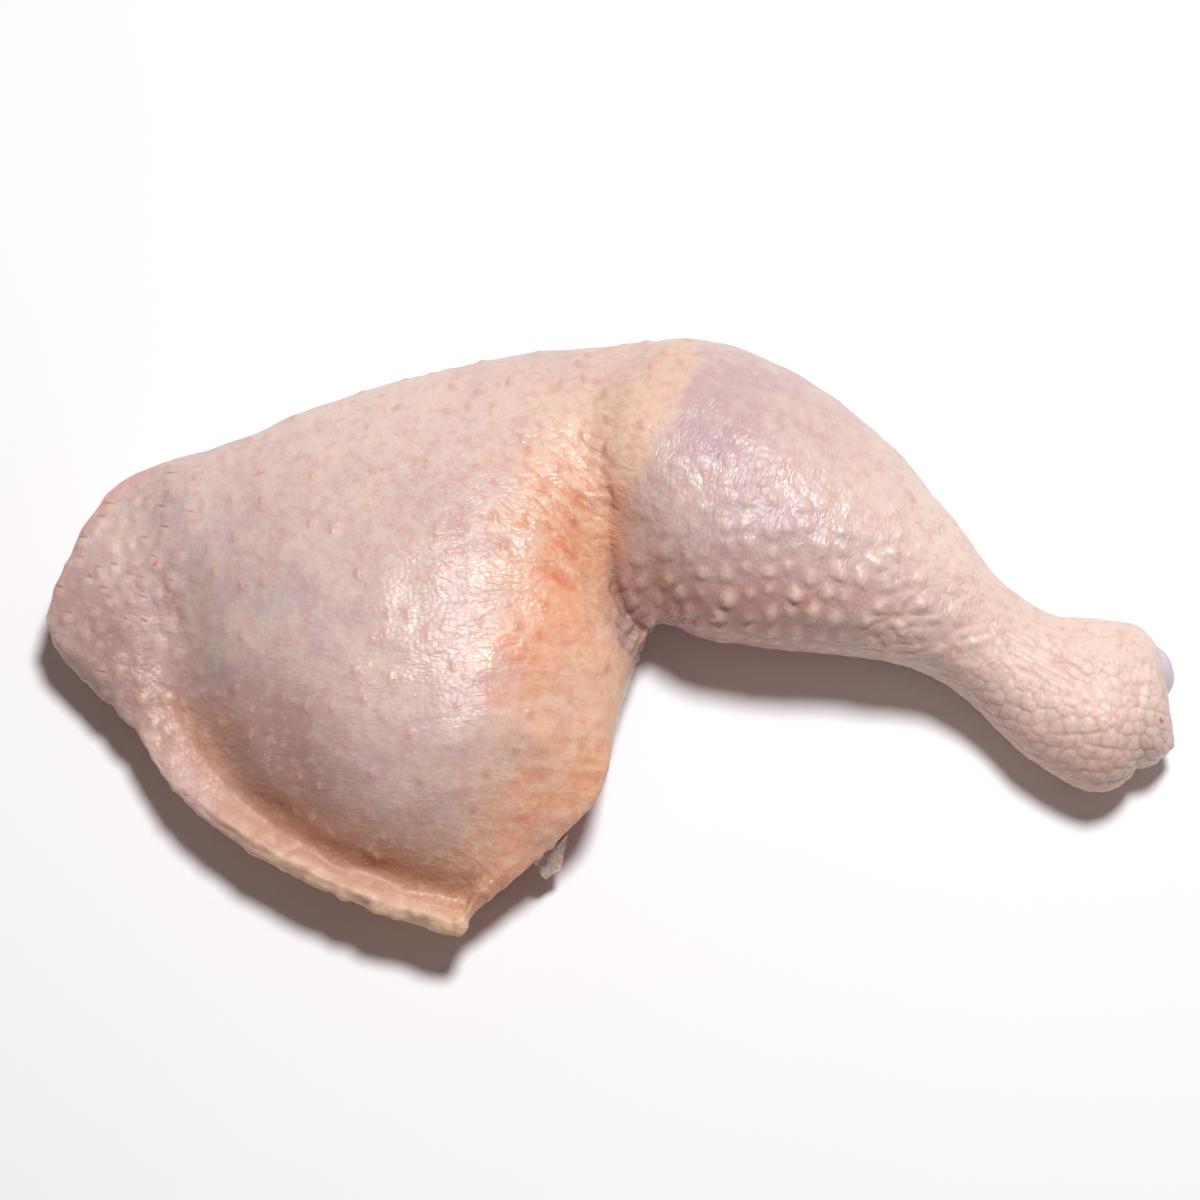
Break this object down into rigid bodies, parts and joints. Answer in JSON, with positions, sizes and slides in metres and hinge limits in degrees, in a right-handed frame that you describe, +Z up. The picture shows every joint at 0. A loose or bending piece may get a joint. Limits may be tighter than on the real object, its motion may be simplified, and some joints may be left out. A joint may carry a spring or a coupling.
{
  "type": "raw chicken leg",
  "caption": "Whole raw chicken leg with its skin on, thigh and drumstick in one piece, lying flat with the skin side up.",
  "frame": {"origin": "below the middle of the leg's box, on the surface it lies on", "axes": "+X from the thigh's cut end to the hock, +Y away from the viewer, +Z up out of the skin side"},
  "size_m": [0.2394, 0.1302, 0.0448],
  "materials": {
    "raw_skin": "moist raw poultry skin, fine wrinkles and feather follicles, soft gloss",
    "raw_meat": "moist raw dark poultry meat with fine fibres",
    "gristle": "wet, smooth, bluish white joint cartilage",
    "membrane": "thin moist translucent connective tissue"
  },
  "bodies": {
    "root": {"skin_covered_leg": "raw_skin", "thigh_meat": "raw_meat", "hock_gristle": "gristle", "membrane_scrap": "membrane"}
  },
  "joints": []
}
